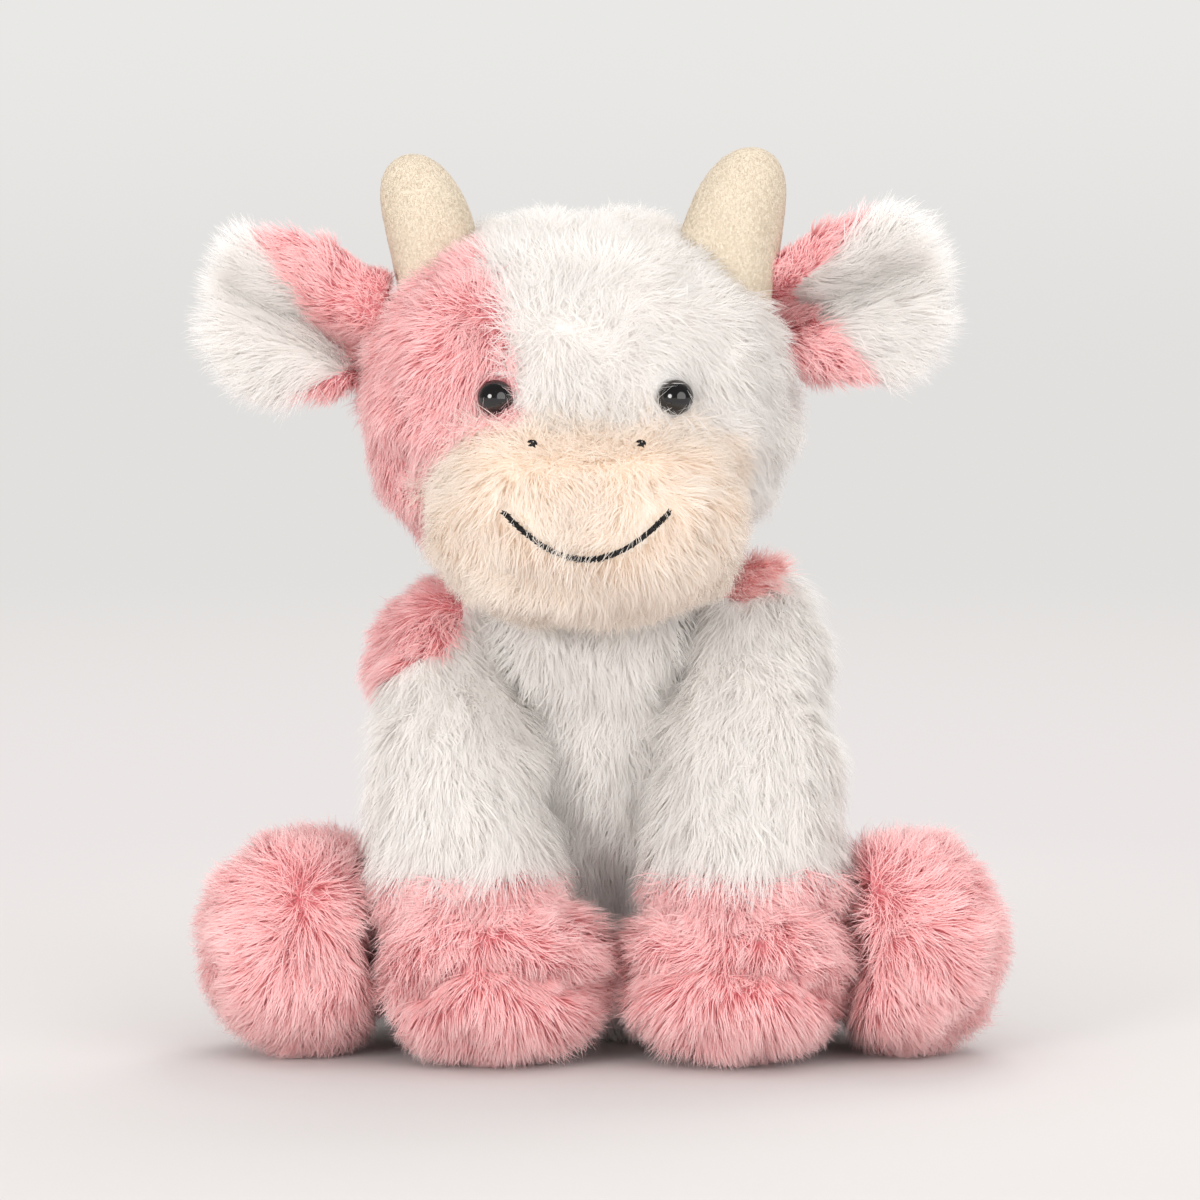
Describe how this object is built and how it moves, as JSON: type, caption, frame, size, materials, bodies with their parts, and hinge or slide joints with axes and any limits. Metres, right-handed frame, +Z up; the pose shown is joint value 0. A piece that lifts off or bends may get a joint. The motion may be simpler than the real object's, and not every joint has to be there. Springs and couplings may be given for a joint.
{
  "type": "plush cow",
  "caption": "Sitting stuffed animal: a pink and white long-pile cow with button eyes, short velour horns, folded ears, limp arms and legs and a tufted tail.",
  "frame": {"origin": "middle of the flat seat under the torso, on the ground", "axes": "+Z up, the cow looks along -Y, its own left side is at +X"},
  "size_m": [0.2237, 0.1798, 0.2507],
  "materials": {
    "white_fur": "long white pile",
    "pink_fur": "long pink pile",
    "peach_fur": "pale peach pile",
    "white_plush": "short white pile",
    "cream_velour": "short-napped velour",
    "black_thread": "matt embroidery thread",
    "eye_plastic": "polished black",
    "washer_plastic": "natural white",
    "filling": "loose fibre filling"
  },
  "bodies": {
    "torso": {"torso_skin": "white_fur", "back_patch": "pink_fur", "torso_stuffing": "filling"},
    "head": {"head_skin": "white_fur", "face_patch": "pink_fur", "muzzle_skin": "peach_fur", "head_stuffing": "filling", "eye_left": "eye_plastic", "eye_right": "eye_plastic", "eye_washer_left": "washer_plastic", "eye_washer_right": "washer_plastic", "nostril_left": "black_thread", "nostril_right": "black_thread", "smile": "black_thread", "horn_left": "cream_velour", "horn_right": "cream_velour", "horn_stuffing_left": "filling", "horn_stuffing_right": "filling"},
    "ear_left": {"ear_left_outer": "pink_fur", "ear_left_lining": "white_plush"},
    "ear_right": {"ear_right_outer": "pink_fur", "ear_right_lining": "white_plush"},
    "arm_left": {"sleeve_left": "white_fur", "shoulder_patch_left": "pink_fur", "paw_left": "pink_fur", "paw_sole_left": "pink_fur", "arm_stuffing_left": "filling"},
    "arm_right": {"sleeve_right": "white_fur", "shoulder_patch_right": "pink_fur", "paw_right": "pink_fur", "paw_sole_right": "pink_fur", "arm_stuffing_right": "filling"},
    "leg_left": {"leg_left": "white_fur", "foot_left": "pink_fur", "leg_stuffing_left": "filling"},
    "leg_right": {"leg_right": "white_fur", "foot_right": "pink_fur", "leg_stuffing_right": "filling"},
    "tail": {"tail": "white_fur", "tail_tuft": "pink_fur"}
  },
  "joints": [
    {"name": "head_nod", "type": "hinge", "parent": "torso", "child": "head", "pos_m": [-0.004, -0.006, 0.114], "axis": [-1, 0, 0], "range_deg": [-6, 10], "stiffness_Nm_per_rad": 0.25},
    {"name": "ear_left_fold", "type": "hinge", "parent": "head", "child": "ear_left", "pos_m": [0.0501, -0.006, 0.20295], "axis": [-0.1392, 0, 0.9903], "range_deg": [-10, 20], "stiffness_Nm_per_rad": 0.004},
    {"name": "ear_right_fold", "type": "hinge", "parent": "head", "child": "ear_right", "pos_m": [-0.06609, -0.006, 0.19877], "axis": [-0.1392, 0, -0.9903], "range_deg": [-10, 20], "stiffness_Nm_per_rad": 0.004},
    {"name": "arm_left_raise", "type": "hinge", "parent": "torso", "child": "arm_left", "pos_m": [0.0405, -0.012, 0.108], "axis": [-1, 0, 0], "range_deg": [0, 30]},
    {"name": "arm_right_raise", "type": "hinge", "parent": "torso", "child": "arm_right", "pos_m": [-0.044, -0.012, 0.108], "axis": [-1, 0, 0], "range_deg": [0, 30]},
    {"name": "leg_left_splay", "type": "hinge", "parent": "torso", "child": "leg_left", "pos_m": [0.042, 0.0145, 0.028], "axis": [0, 0, 1], "range_deg": [0, 18]},
    {"name": "leg_right_splay", "type": "hinge", "parent": "torso", "child": "leg_right", "pos_m": [-0.042, 0.0145, 0.028], "axis": [0, 0, -1], "range_deg": [0, 18]},
    {"name": "tail_wag", "type": "hinge", "parent": "torso", "child": "tail", "pos_m": [0, 0.044, 0.044], "axis": [0, 0, 1], "range_deg": [-25, 25], "stiffness_Nm_per_rad": 0.002}
  ]
}
